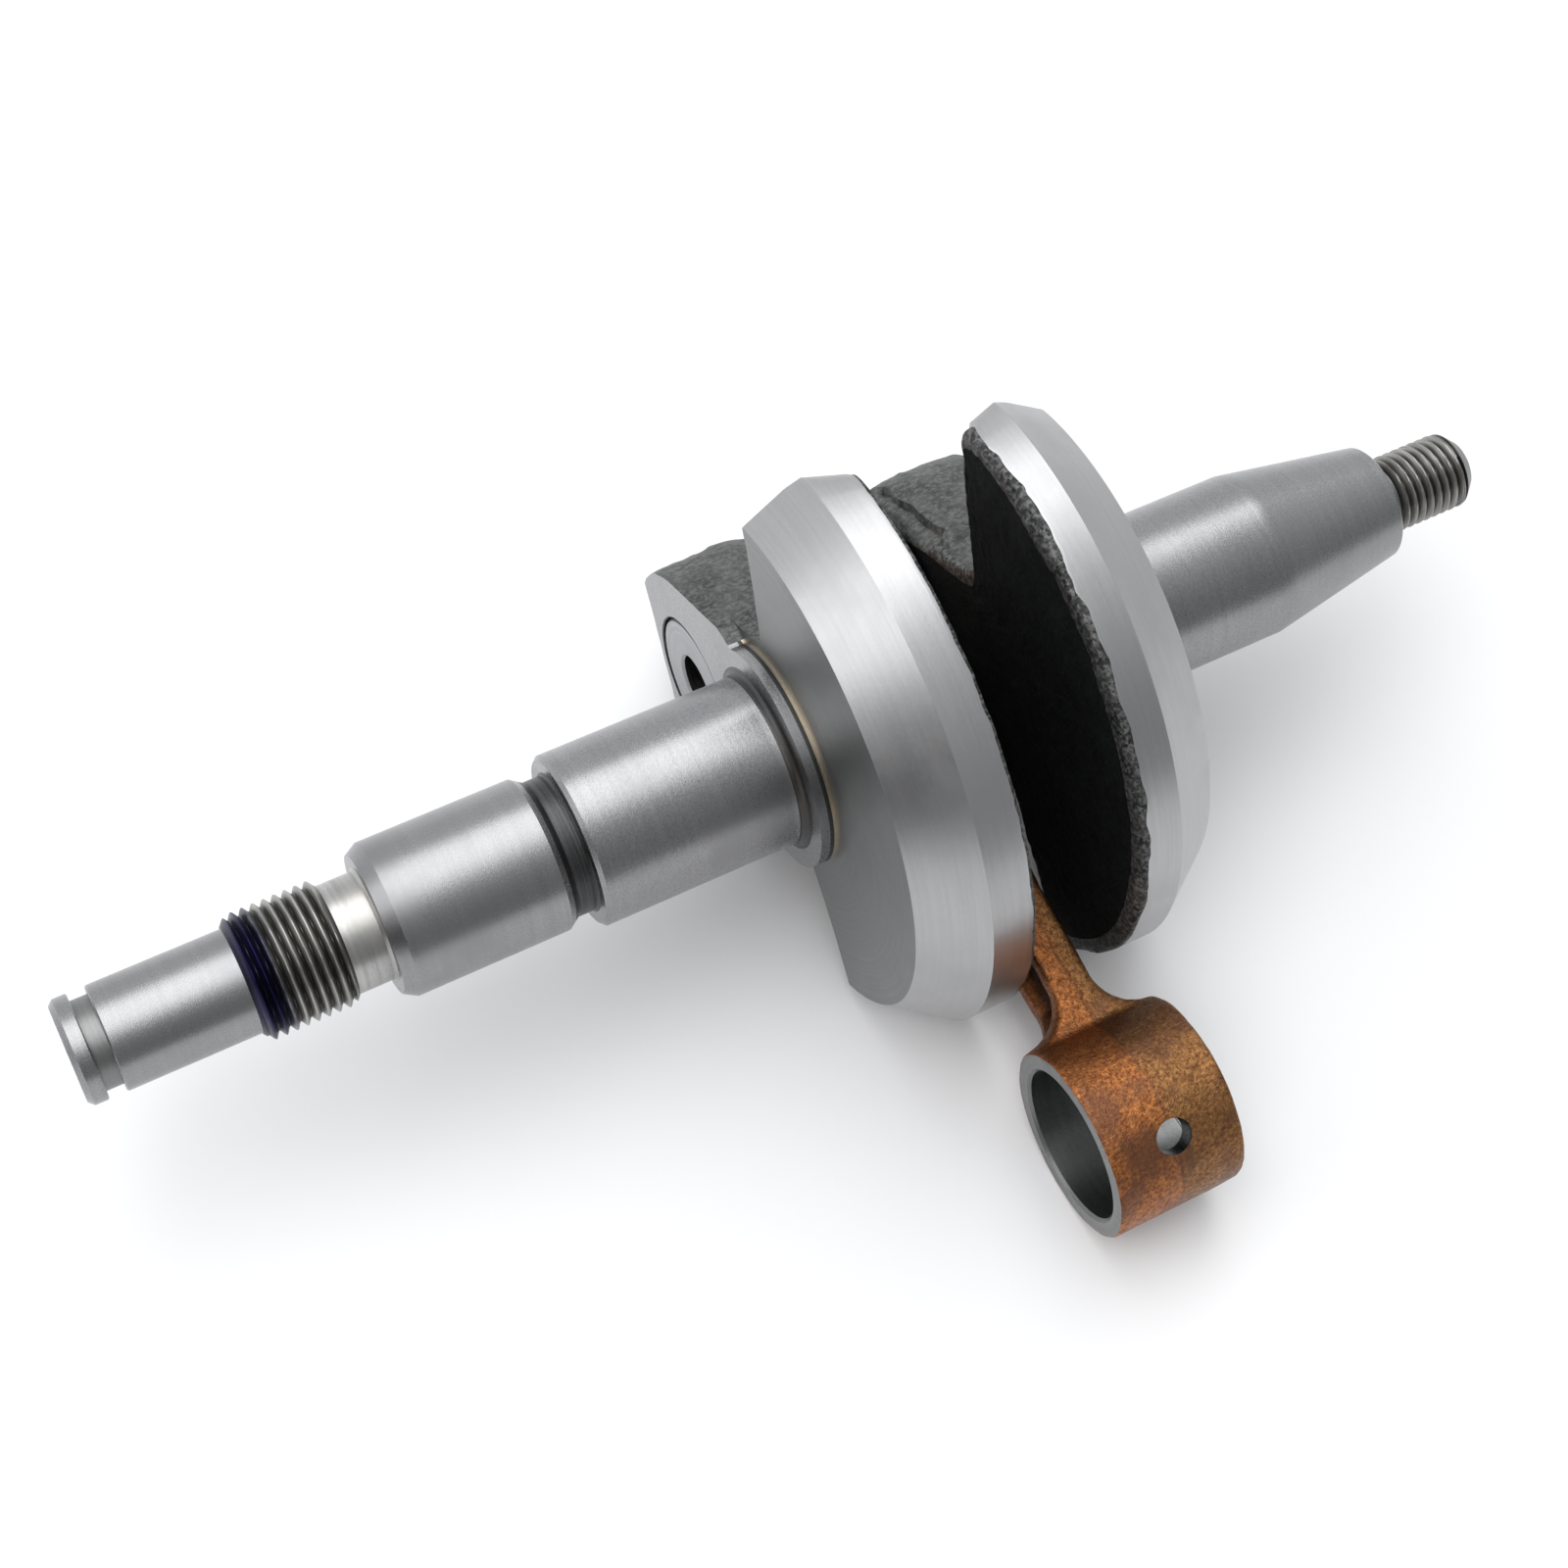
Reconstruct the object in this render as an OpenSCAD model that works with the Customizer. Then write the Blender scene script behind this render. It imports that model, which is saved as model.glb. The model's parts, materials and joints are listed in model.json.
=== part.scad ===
// Built-up single-cylinder crankshaft with its connecting rod and big-end needle bearing.
//
// Frame: X runs along the crank axis from the drive end (-X) to the flywheel end (+X), Z is up.
// The origin lies on the crank axis, half way along the drive-side main journal.
// The crank lies as it does on a bench: big end, counterweight corners and small end at one level.

/* [Crank webs] */
// Stroke of the crank, twice the throw
stroke = 34; // [33:0.5:36]
// Diameter of the counterweight rims
web_d = 60.4; // [58:0.2:74]
// Free gap between the two webs
web_gap = 10.6; // [8:0.1:16]
// Width of the cylindrical rim
rim_w = 4.6; // [3:0.1:8]
// Axial length of the conical bevel beside the rim
bevel_w = 5.7; // [3:0.1:8]
// Diameter where the bevel meets the turned outer face
web_face_d = 52.2; // [48:0.2:56]
// Height of the ground boss above the turned outer face
boss_step = 1.7; // [0.5:0.1:3]
// Diameter of the boss round the journal
boss_d = 22.4; // [20:0.2:26]
// Width of the nose that holds the crank pin
nose_w = 24.4; // [20:0.2:28]
// Metal left between the pin and the flat end of the nose
nose_wall = 1.2; // [1:0.1:3]
// Slope of the counterweight shoulders
shoulder_slope = 10; // [4:1:16]
// Forging draft of the shoulders
shoulder_draft = 12; // [0:1:14]
// Broken edge along the inner side of the rim
rim_chamfer = 0.7; // [0.2:0.1:1.5]

/* [Main journals] */
// Diameter of both main journals
journal_d = 17; // [15:0.1:20]
// Length of the drive-side main journal
drive_journal_l = 20.5; // [16:0.1:26]
// Length of the flywheel-side main journal
flywheel_journal_l = 19.5; // [16:0.1:26]
// Fillet between a journal and its boss
journal_fillet = 0.8; // [0.3:0.1:1.5]

/* [Drive end] */
// Width of the round groove between the two drive-side journals
undercut_w = 2; // [1.2:0.1:4]
// Diameter at the bottom of that groove
undercut_d = 13.4; // [11:0.1:14.4]
// Diameter of the second journal
second_journal_d = 15; // [14.6:0.1:16.4]
// Length of the second journal, its end bevels included
second_journal_l = 17.1; // [12:0.1:24]
// Diameter of the relief behind the thread
relief_d = 10.5; // [10:0.1:10.7]
// Length of the relief
relief_l = 3.6; // [2:0.1:6]
// Outside diameter of the drive-side thread
drive_thread_d = 12; // [12:0.1:14]
// Number of turns of the drive-side thread
drive_thread_turns = 9; // [5:1:14]
// Diameter of the pilot ahead of the thread
pilot_d = 10; // [8.8:0.1:10.6]
// Length of the pilot
pilot_l = 12.4; // [6:0.1:20]
// Diameter at the bottom of the clip groove
clip_groove_d = 8.5; // [6:0.1:8.7]
// Width of the clip groove
clip_groove_w = 1.6; // [1:0.1:3]
// Length of the end collar
collar_l = 1.8; // [1:0.1:4]

/* [Flywheel end] */
// Length of the flywheel taper
taper_l = 15.3; // [10:0.1:18]
// Length over which the taper loses one millimetre of diameter
taper_ratio = 3; // [3:0.5:10]
// Diameter of the neck behind the nut thread
neck_d = 6.6; // [5.5:0.1:6.7]
// Length of the neck
neck_l = 1.6; // [0.8:0.1:4]
// Outside diameter of the nut thread
nut_thread_d = 8; // [8:0.1:10]
// Number of turns of the nut thread
nut_thread_turns = 8; // [5:1:12]
// Length of the chamfered tip
tip_l = 1.2; // [0.6:0.1:2]

/* [Crank pin] */
// Outside diameter of the crank pin
pin_d = 15; // [12:0.1:18]
// Bore through the crank pin
pin_bore_d = 6.6; // [3:0.1:8]
// Bevel at both ends of the pin
pin_bevel = 0.4; // [0.2:0.1:0.8]
// How far each pin end sits below the boss face
pin_recess = 0.1; // [0.05:0.05:1]

/* [Big-end bearing] */
// Diameter of one needle roller
roller_d = 2.5; // [1.5:0.1:3]
// Length of one needle roller
roller_l = 7.6; // [5:0.1:8]
// Length of the cage
cage_l = 9.8; // [9:0.1:10]
// Radial running clearance of the rollers
roller_play = 0.04; // [0.02:0.01:0.08]
// Play of a roller in its pocket, on each side
pocket_play = 0.08; // [0.04:0.01:0.2]
// Radial clearance between the cage and the rod
cage_play = 0.06; // [0.03:0.01:0.1]
// Radial gap between the cage and the pin
cage_gap = 0.4; // [0.2:0.05:0.6]

/* [Connecting rod] */
// Distance between the big-end and small-end centres
rod_l = 57.5; // [57.5:0.5:80]
// Side clearance of the big end at each web
big_end_float = 0.3; // [0.1:0.05:0.5]
// Wall of the big-end eye
big_end_wall = 2.6; // [2:0.1:3]
// Bore of the small end
small_end_bore_d = 15; // [10:0.1:15.4]
// Wall of the small-end eye
small_end_wall = 2; // [1.5:0.1:2]
// Length of the small-end barrel
small_end_w = 13.4; // [9:0.1:16]
// Bevel at the edges of both eyes
eye_bevel = 0.4; // [0.1:0.1:0.6]
// Diameter of the oil hole in the small end
oil_hole_d = 3.4; // [1.5:0.1:4.5]
// Direction of the oil hole, from the line of the rod
oil_hole_angle = -57; // [-120:1:-45]
// Width of the shank at the big end
shank_root_w = 13; // [10:0.1:16]
// Width of the shank at the small end
shank_tip_w = 8.8; // [7:0.1:12]
// Thickness of the shank across its flanges
shank_t = 4.4; // [4:0.1:7.5]
// Thickness of the web inside the shank
shank_web_t = 1.8; // [1.6:0.1:3.4]
// Width of each flange
flange_w = 2; // [1.4:0.1:2.6]

/* [Hidden] */
$fn = 96;

rollers = 12;
drive_pitch = 1;
nut_pitch = 1;
thread_depth = 0.61;    // depth of a 60 degree thread of 1 mm pitch
end_bevel = 0.5;        // bevel on the outer ends of the drive side
journal_bevel = 0.4;
shoulder_bevel_l = 1.2; // bevel ahead of the second journal
shoulder_bevel_r = 0.7;
cone_l = 1.05;          // cone from the second journal into the groove
big = 200;
overlap = 0.5;

throw = stroke / 2;
web_r = web_d / 2;
journal_r = journal_d / 2;
nose_r = nose_w / 2;
nose_top = throw + pin_d / 2 + nose_wall;

// Stations along the axis, measured outwards from the middle of the rod
inner_z = web_gap / 2;
rim_z = inner_z + rim_w;
face_z = rim_z + bevel_w;
boss_z = face_z + boss_step;
mid_z = (inner_z + face_z) / 2;

drive_journal_z = boss_z + drive_journal_l;
undercut_z = drive_journal_z + undercut_w;
relief_z = undercut_z + second_journal_l;
drive_thread_z = relief_z + relief_l;
pilot_z = drive_thread_z + drive_thread_turns * drive_pitch;
clip_z = pilot_z + pilot_l;
collar_z = clip_z + clip_groove_w;
drive_end_z = collar_z + collar_l;

flywheel_journal_z = boss_z + flywheel_journal_l;
taper_z = flywheel_journal_z + taper_l;
nut_thread_z = taper_z + neck_l;
tip_z = nut_thread_z + nut_thread_turns * nut_pitch;
flywheel_end_z = tip_z + tip_l;
taper_end_r = (journal_d - taper_l / taper_ratio) / 2;

// The rod's middle plane, along X
rod_x = boss_z + drive_journal_l / 2;

// Bearing radii
pin_r = pin_d / 2;
roller_r = roller_d / 2;
orbit_r = pin_r + roller_play + roller_r;
race_r = orbit_r + roller_r + roller_play;
cage_out_r = race_r - cage_play;
cage_in_r = pin_r + cage_gap;

// Rod
big_end_w = web_gap - 2 * big_end_float;
big_end_r = race_r + big_end_wall;
small_bore_r = small_end_bore_d / 2;
small_end_r = small_bore_r + small_end_wall;

// Corner of the counterweight where its shoulder meets the rim
shoulder_rise = (rim_z - mid_z) * tan(shoulder_draft);
shoulder_fall = tan(shoulder_slope) / cos(shoulder_draft);
corner_side = (shoulder_rise * shoulder_fall
    + sqrt(web_r * web_r * (1 + shoulder_fall * shoulder_fall) - shoulder_rise * shoulder_rise))
    / (1 + shoulder_fall * shoulder_fall);
corner_up = shoulder_rise - corner_side * shoulder_fall;

// Lie of the crank: the line that touches the corner and the wider of nose and big end is level
lean_r = max(nose_r, big_end_r);
lie_dist = norm([corner_side, throw - corner_up]);
lie = atan2(throw - corner_up, -corner_side) - asin(lean_r / lie_dist) - 90;
roll = -90 - lie;
floor_z = -(cos(lie) * corner_side + sin(lie) * corner_up);
pin_y = -sin(roll) * throw;
pin_z = cos(roll) * throw;

// Lie of the rod: the small end is down on the same level
rod_angle = 180 + asin((pin_z - floor_z - small_end_r) / rod_l);

function roller_name(i) = str("roller_", i < 10 ? "0" : "", i);

// Saw-tooth outline of a thread of the given radius, from z upwards
function thread_points(r, z, turns, pitch) = [
    for (i = [0:turns - 1])
        each [[r - thread_depth, z + i * pitch], [r, z + (i + 0.44) * pitch], [r, z + (i + 0.56) * pitch]],
    [r - thread_depth, z + turns * pitch]
];

// Foot of a shaft of radius r: sunk into the boss, then a quarter circle from its face at z to the shaft
function foot_points(r, z) = [
    [0, z - overlap],
    [r + journal_fillet, z - overlap],
    for (a = [90:-15:0]) [r + journal_fillet * (1 - cos(a)), z + journal_fillet * (1 - sin(a))]
];

// Turns the working frame, axis up and pin along +Y, into the model's frame
module place_crank() {
    translate([rod_x, 0, 0])
        rotate([roll, 0, 0])
            rotate([90, 0, 90])
                children();
}

// Puts a piece at the crank pin, with its own +X along the rod and +Z along the crank axis
module place_at_pin(angle = 0) {
    translate([rod_x, pin_y, pin_z])
        rotate([angle, 0, 0])
            rotate([90, 0, 90])
                children();
}

// The turned blank: rim, bevel and outer face
module web_disc() {
    rotate_extrude()
        polygon([
            [0, inner_z],
            [web_r - rim_chamfer, inner_z],
            [web_r, inner_z + rim_chamfer],
            [web_r, rim_z],
            [web_face_d / 2, face_z],
            [0, face_z]
        ]);
}

// Everything above one sloping shoulder
module above_shoulder() {
    translate([0, 0, mid_z])
        rotate([-shoulder_draft, 0, 0])
            rotate([0, 0, -shoulder_slope])
                translate([-big / 2, 0, -big / 2])
                    cube([big, big, big]);
}

module counterweight() {
    difference() {
        web_disc();
        above_shoulder();
        mirror([1, 0, 0]) above_shoulder();
    }
}

// Outline of the nose from the given height up to its flat end
module nose_outline(foot) {
    intersection() {
        union() {
            translate([0, throw]) circle(r = nose_r);
            translate([-nose_r, foot]) square([nose_w, throw - foot]);
        }
        translate([-nose_r, foot]) square([nose_w, nose_top - foot]);
    }
}

// The nose from the inner face up to the ground boss; its foot stays below the boss
module nose() {
    difference() {
        translate([0, 0, inner_z])
            linear_extrude(boss_z - inner_z) nose_outline(-nose_r / 2);
        translate([0, 0, face_z])
            linear_extrude(big)
                difference() {
                    translate([-big / 2, boss_d / 4 - big]) square(big);
                    circle(d = boss_d);
                }
    }
}

module web() {
    counterweight();
    nose();
    translate([0, 0, mid_z])
        cylinder(h = boss_z - mid_z, d = boss_d);
}

// One crank half: its web and its shaft, bored for the pin
module crank_half() {
    difference() {
        union() {
            web();
            children();
        }
        translate([0, throw, 0])
            cylinder(h = boss_z + pin_recess, r = pin_r);
    }
}

module drive_shaft() {
    rotate_extrude()
        polygon(concat(
            foot_points(journal_r, boss_z),
            [
                [journal_r, drive_journal_z - journal_bevel],
                [journal_r - journal_bevel, drive_journal_z],
                [undercut_d / 2, drive_journal_z],
                [undercut_d / 2, undercut_z],
                [second_journal_d / 2, undercut_z + cone_l],
                [second_journal_d / 2, relief_z - shoulder_bevel_l],
                [second_journal_d / 2 - shoulder_bevel_r, relief_z],
                [relief_d / 2, relief_z],
                [relief_d / 2, drive_thread_z]
            ],
            thread_points(drive_thread_d / 2, drive_thread_z, drive_thread_turns, drive_pitch),
            [
                [pilot_d / 2, pilot_z],
                [pilot_d / 2, clip_z],
                [clip_groove_d / 2, clip_z],
                [clip_groove_d / 2, collar_z],
                [pilot_d / 2, collar_z],
                [pilot_d / 2, drive_end_z - end_bevel],
                [pilot_d / 2 - end_bevel, drive_end_z],
                [0, drive_end_z]
            ]
        ));
}

module flywheel_shaft() {
    rotate_extrude()
        polygon(concat(
            foot_points(journal_r, boss_z),
            [
                [journal_r, flywheel_journal_z],
                [taper_end_r, taper_z],
                [neck_d / 2, taper_z],
                [neck_d / 2, nut_thread_z]
            ],
            thread_points(nut_thread_d / 2, nut_thread_z, nut_thread_turns, nut_pitch),
            [
                [nut_thread_d / 2 - tip_l, flywheel_end_z],
                [0, flywheel_end_z]
            ]
        ));
}

module drive_half() {
    color("silver")
        place_crank()
            mirror([0, 0, 1])
                crank_half() drive_shaft();
}

module flywheel_half() {
    color("silver")
        place_crank()
            crank_half() flywheel_shaft();
}

module crank_pin() {
    pin_z_end = boss_z - pin_recess;
    color("gainsboro")
        place_at_pin()
            rotate_extrude()
                polygon([
                    [pin_bore_d / 2, -pin_z_end],
                    [pin_r - pin_bevel, -pin_z_end],
                    [pin_r, -pin_z_end + pin_bevel],
                    [pin_r, pin_z_end - pin_bevel],
                    [pin_r - pin_bevel, pin_z_end],
                    [pin_bore_d / 2, pin_z_end]
                ]);
}

// A plain eye of the rod with bevelled edges
module eye(r, w) {
    rotate_extrude()
        polygon([
            [0, -w / 2],
            [r - eye_bevel, -w / 2],
            [r, -w / 2 + eye_bevel],
            [r, w / 2 - eye_bevel],
            [r - eye_bevel, w / 2],
            [0, w / 2]
        ]);
}

// Tapered outline of the shank, drawn in by the given margin
module shank_outline(start, end, margin) {
    polygon([
        [start, shank_root_w / 2 - margin],
        [end, shank_tip_w / 2 - margin],
        [end, -shank_tip_w / 2 + margin],
        [start, -shank_root_w / 2 + margin]
    ]);
}

module con_rod() {
    recess_start = big_end_r + 3;
    recess_end = rod_l - small_end_r - 3;
    recess_d = (shank_t - shank_web_t) / 2;
    root_recess_r = shank_root_w / 2 - flange_w;
    tip_recess_r = shank_tip_w / 2 - flange_w;
    color("peru")
        place_at_pin(rod_angle)
            difference() {
                union() {
                    eye(big_end_r, big_end_w);
                    translate([rod_l, 0, 0]) eye(small_end_r, small_end_w);
                    translate([0, 0, -shank_t / 2])
                        linear_extrude(shank_t)
                            shank_outline(race_r + big_end_wall / 2, rod_l - small_bore_r - small_end_wall / 2, 0);
                }
                cylinder(h = big, r = race_r, center = true);
                translate([rod_l, 0, 0]) cylinder(h = big, r = small_bore_r, center = true);
                for (side = [-1, 1])
                    translate([0, 0, side * (shank_t / 2 - recess_d / 2 + overlap / 2)])
                        linear_extrude(recess_d + overlap, center = true) {
                            shank_outline(recess_start, recess_end, flange_w);
                            translate([recess_start, 0]) circle(r = root_recess_r);
                            translate([recess_end, 0]) circle(r = tip_recess_r);
                        }
                translate([rod_l, 0, 0])
                    rotate([0, 0, oil_hole_angle])
                        rotate([0, 90, 0])
                            cylinder(h = small_end_r + overlap, d = oil_hole_d);
            }
}

module big_end_cage() {
    color("dimgray")
        place_at_pin(rod_angle)
            difference() {
                cylinder(h = cage_l, r = cage_out_r, center = true);
                cylinder(h = cage_l + overlap, r = cage_in_r, center = true);
                for (i = [1:rollers])
                    rotate([0, 0, i * 360 / rollers])
                        translate([0, -roller_r - pocket_play, -roller_l / 2 - pocket_play])
                            cube([race_r + overlap, roller_d + 2 * pocket_play, roller_l + 2 * pocket_play]);
            }
}

module roller(i) {
    color("lightsteelblue")
        place_at_pin(rod_angle)
            rotate([0, 0, i * 360 / rollers])
                translate([orbit_r, 0, 0])
                    cylinder(h = roller_l, r = roller_r, center = true);
}

drive_half();
flywheel_half();
crank_pin();
con_rod();
big_end_cage();
for (i = [1:rollers])
    roller(i);
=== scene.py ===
import json
import math
import bmesh
import bpy
import numpy as np
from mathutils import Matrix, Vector


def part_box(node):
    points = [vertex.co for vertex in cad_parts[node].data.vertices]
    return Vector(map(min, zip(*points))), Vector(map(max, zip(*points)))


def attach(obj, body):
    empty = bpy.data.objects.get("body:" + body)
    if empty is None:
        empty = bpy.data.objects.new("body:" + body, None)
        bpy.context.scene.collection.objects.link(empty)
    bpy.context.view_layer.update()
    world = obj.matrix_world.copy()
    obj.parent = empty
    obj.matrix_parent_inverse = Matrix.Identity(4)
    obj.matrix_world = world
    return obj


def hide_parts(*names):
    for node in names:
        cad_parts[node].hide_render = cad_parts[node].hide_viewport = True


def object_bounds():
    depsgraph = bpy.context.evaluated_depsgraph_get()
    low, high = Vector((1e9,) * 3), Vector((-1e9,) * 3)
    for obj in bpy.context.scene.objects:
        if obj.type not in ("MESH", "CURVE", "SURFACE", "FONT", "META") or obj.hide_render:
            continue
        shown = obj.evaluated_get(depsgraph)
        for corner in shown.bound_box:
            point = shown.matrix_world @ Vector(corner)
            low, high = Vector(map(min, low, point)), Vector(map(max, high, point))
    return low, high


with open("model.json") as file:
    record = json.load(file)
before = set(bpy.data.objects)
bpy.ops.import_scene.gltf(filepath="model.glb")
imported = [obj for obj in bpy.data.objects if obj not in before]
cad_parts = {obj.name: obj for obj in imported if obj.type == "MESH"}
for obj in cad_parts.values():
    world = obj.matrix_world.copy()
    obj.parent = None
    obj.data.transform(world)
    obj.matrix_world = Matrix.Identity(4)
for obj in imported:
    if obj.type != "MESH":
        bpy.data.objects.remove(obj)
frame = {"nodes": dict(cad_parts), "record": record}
cadLow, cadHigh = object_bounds()
record = frame["record"]
mounts = {mount["name"]: mount for mount in record["mounts"]}
jointPlaces = {joint["name"]: joint["pos_m"] for joint in record["behaviour"]["joints"]}
print("frame loaded,", len(frame["nodes"]), "nodes")

# lengths below are millimetres, and become metres when a mesh is written
rodPlane, pinAcross, pinUp = [1000 * v for v in jointPlaces["con_rod_swing"]]
crankTurn = math.atan2(-pinAcross, pinUp)  # turn of the webs about the shaft, 0 with the pin straight up
smallEnd = mounts["small_end_bore"]
smallEndAcross, smallEndUp = 1000 * smallEnd["pos_m"][1], 1000 * smallEnd["pos_m"][2]
rodTurn = math.atan2(smallEndUp - pinUp, smallEndAcross - pinAcross)
rodLength = math.hypot(smallEndUp - pinUp, smallEndAcross - pinAcross)
journalRadius = mounts["drive_main_journal"]["dims"]["r_mm"]
secondRadius = mounts["second_journal"]["dims"]["r_mm"]
pilotRadius = mounts["pilot"]["dims"]["r_mm"]
smallBoreRadius = smallEnd["dims"]["r_mm"]
pinLow, pinHigh = [1000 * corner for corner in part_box("crank_pin")]
pinRadius = (pinHigh.z - pinLow.z) / 2


# shapes that several pieces use

def lumps(points, size, seed=0):
    # value noise: every corner of a cubic lattice holds a hashed number, and a point takes
    # the smooth mix of the eight corners round it, from -1 to 1
    place = points / size + 57.3 * (seed + 1)
    cell = np.floor(place).astype(np.int64)
    part = place - cell
    part = part * part * (3 - 2 * part)
    total = np.zeros(points.shape[:-1])
    for corner in np.ndindex(2, 2, 2):
        key = cell + np.array(corner)
        mixed = (key[..., 0] * 374761393 + key[..., 1] * 668265263 + key[..., 2] * 1440662683) & 0x7FFFFFFF
        mixed = ((mixed ^ (mixed >> 13)) * 1274126177) & 0x7FFFFFFF
        value = (mixed ^ (mixed >> 16)) / 0x7FFFFFFF
        total += value * np.prod(np.where(np.array(corner) == 1, part, 1 - part), axis=-1)
    return 2 * total - 1


def stepped(corners, step):
    # a broken line filled in: each stretch is cut into equal parts no longer than the step
    out = [np.array([corners[0]], float)]
    for a, b in zip(corners[:-1], corners[1:]):
        count = max(1, int(math.ceil(math.dist(a, b) / step)))
        t = np.arange(1, count + 1)[:, None] / count
        out.append(np.array(a) * (1 - t) + np.array(b) * t)
    return np.concatenate(out)


def roundWithin(radius, start, end, centre, count):
    # points of an arc of the given radius about a centre, from one angle to another
    angle = np.radians(np.linspace(start, end, count))
    return list(zip(centre[0] + radius * np.cos(angle), centre[1] + radius * np.sin(angle)))


def skin(name, rings, bands, looped=False, sharp=30.0):
    # closed surface on a stack of rings, rings[row, column]: four-sided faces between rows,
    # and a fan of triangles to the middle of each end ring, or a join from last ring to first
    rows, columns = rings.shape[:2]
    row = np.arange(rows if looped else rows - 1)[:, None]
    column = np.arange(columns)[None, :]
    nextRow, nextColumn = (row + 1) % rows, (column + 1) % columns
    quads = np.stack([row * columns + column, row * columns + nextColumn,
                      nextRow * columns + nextColumn, nextRow * columns + column], axis=-1).reshape(-1, 4)
    bands = np.broadcast_to(bands, (len(row), columns)).reshape(-1)
    points = rings.reshape(-1, 3)
    fans = np.zeros((0, 3), int)
    if not looped:
        ends = np.stack([rings[0].mean(0), rings[-1].mean(0)])
        points = np.concatenate([points, ends])
        first, last = np.arange(columns), (rows - 1) * columns + np.arange(columns)
        fans = np.concatenate([
            np.stack([np.roll(first, -1), first, np.full(columns, rows * columns)], 1),
            np.stack([last, np.roll(last, -1), np.full(columns, rows * columns + 1)], 1)])
        bands = np.concatenate([bands, np.full(columns, bands[0]), np.full(columns, bands[-1])])
    triangles = np.concatenate([quads[:, [0, 1, 2]], quads[:, [0, 2, 3]], fans])
    a, b, c = (points[triangles[:, k]] for k in range(3))
    if np.einsum("ij,ij->i", a, np.cross(b, c)).sum() < 0:  # turned inside out
        quads, fans = quads[:, ::-1], fans[:, ::-1]
    mesh = bpy.data.meshes.new(name)
    mesh.from_pydata((points / 1000).tolist(), [], quads.tolist() + fans.tolist())
    mesh.polygons.foreach_set("material_index", bands.astype(np.int32))
    work = bmesh.new()
    work.from_mesh(mesh)
    bmesh.ops.remove_doubles(work, verts=work.verts, dist=2e-6)
    bmesh.ops.dissolve_degenerate(work, edges=work.edges, dist=1e-7)
    work.to_mesh(mesh)
    work.free()
    smooth(mesh, sharp)
    return mesh


def smooth(mesh, sharp):
    mesh.polygons.foreach_set("use_smooth", np.ones(len(mesh.polygons), bool))
    mesh.set_sharp_from_angle(angle=math.radians(sharp))
    mesh.update()


def toCrank(local, side):
    # working frame of a web (across, towards the pin, outwards) to the model's frame
    across, up, out = local[..., 0], local[..., 1], local[..., 2]
    c, s = math.cos(crankTurn), math.sin(crankTurn)
    return np.stack([rodPlane + side * out, across * c - up * s, across * s + up * c], axis=-1)


def toRod(local):
    # working frame of the rod (along, across, sideways) to the model's frame
    along, across, side = local[..., 0], local[..., 1], local[..., 2]
    c, s = math.cos(rodTurn), math.sin(rodTurn)
    return np.stack([rodPlane + side, pinAcross + along * c - across * s,
                     pinUp + along * s + across * c], axis=-1)


def turned(outline, columns, bulge=None):
    # a turned shape: each (station, radius) of the outline goes round the axis, with an
    # optional change of radius that depends on station and angle
    angle = np.linspace(0, 2 * np.pi, columns, endpoint=False)[None, :]
    station, radius = outline[:, 0][:, None], outline[:, 1][:, None]
    if bulge is not None:
        radius = bulge(station + 0 * angle, radius + 0 * angle, angle + 0 * station)
    return np.stack([radius * np.cos(angle), radius * np.sin(angle), station + 0 * angle], axis=-1)


def pointsOf(mesh):
    place = np.zeros(len(mesh.vertices) * 3)
    mesh.vertices.foreach_get("co", place)
    return place.reshape(-1, 3) * 1000


def keepMask(mesh, name, values):
    # a number at every point of the mesh, for a finish to read
    mesh.attributes.new(name, "FLOAT", "POINT").data.foreach_set("value", values.astype(np.float32))


def asObject(name, mesh, finishes):
    piece = bpy.data.objects.new(name, mesh)
    bpy.context.scene.collection.objects.link(piece)
    for finish in finishes:
        mesh.materials.append(finish)
    return piece


def settled(piece, name):
    # the piece's modifiers worked into a plain mesh
    graph = bpy.context.evaluated_depsgraph_get()
    mesh = bpy.data.meshes.new_from_object(piece.evaluated_get(graph))
    mesh.name = name
    piece.modifiers.clear()
    piece.data = mesh
    return mesh


def cutAway(piece, tool):
    # machining: the tool's volume is taken out of the piece, and the tool is thrown away
    cut = piece.modifiers.new("cut", "BOOLEAN")
    cut.operation, cut.solver, cut.object = "DIFFERENCE", "EXACT", tool
    mesh = settled(piece, piece.name)
    bpy.data.objects.remove(tool)
    return mesh


# finishes

def feed(tree, socket, value):
    # a socket given as the value is linked, and anything else is set
    if isinstance(value, bpy.types.NodeSocket):
        tree.links.new(value, socket)
    else:
        socket.default_value = value


def addNode(tree, kind, **values):
    # one node: set_ starts the name of a property, in and a number or a label names an input
    made = tree.nodes.new(kind)
    for key, value in values.items():
        if key.startswith("set_"):
            setattr(made, key[4:], value)
    for key, value in values.items():
        if not key.startswith("set_"):
            label = int(key[2:]) if key[:2] == "in" and key[2:].isdigit() else key.replace("_", " ")
            feed(tree, made.inputs[label], value)
    return made


def maths(tree, operation, a, b=0.0, c=0.0):
    return addNode(tree, "ShaderNodeMath", set_operation=operation, in0=a, in1=b, in2=c).outputs[0]


def objectPlace(tree):
    return addNode(tree, "ShaderNodeTexCoord").outputs["Object"]


def vectorMaths(tree, operation, a, **values):
    return addNode(tree, "ShaderNodeVectorMath", set_operation=operation, in0=a, **values)


def attribute(tree, name):
    return addNode(tree, "ShaderNodeAttribute", set_attribute_name=name).outputs["Fac"]


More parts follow.
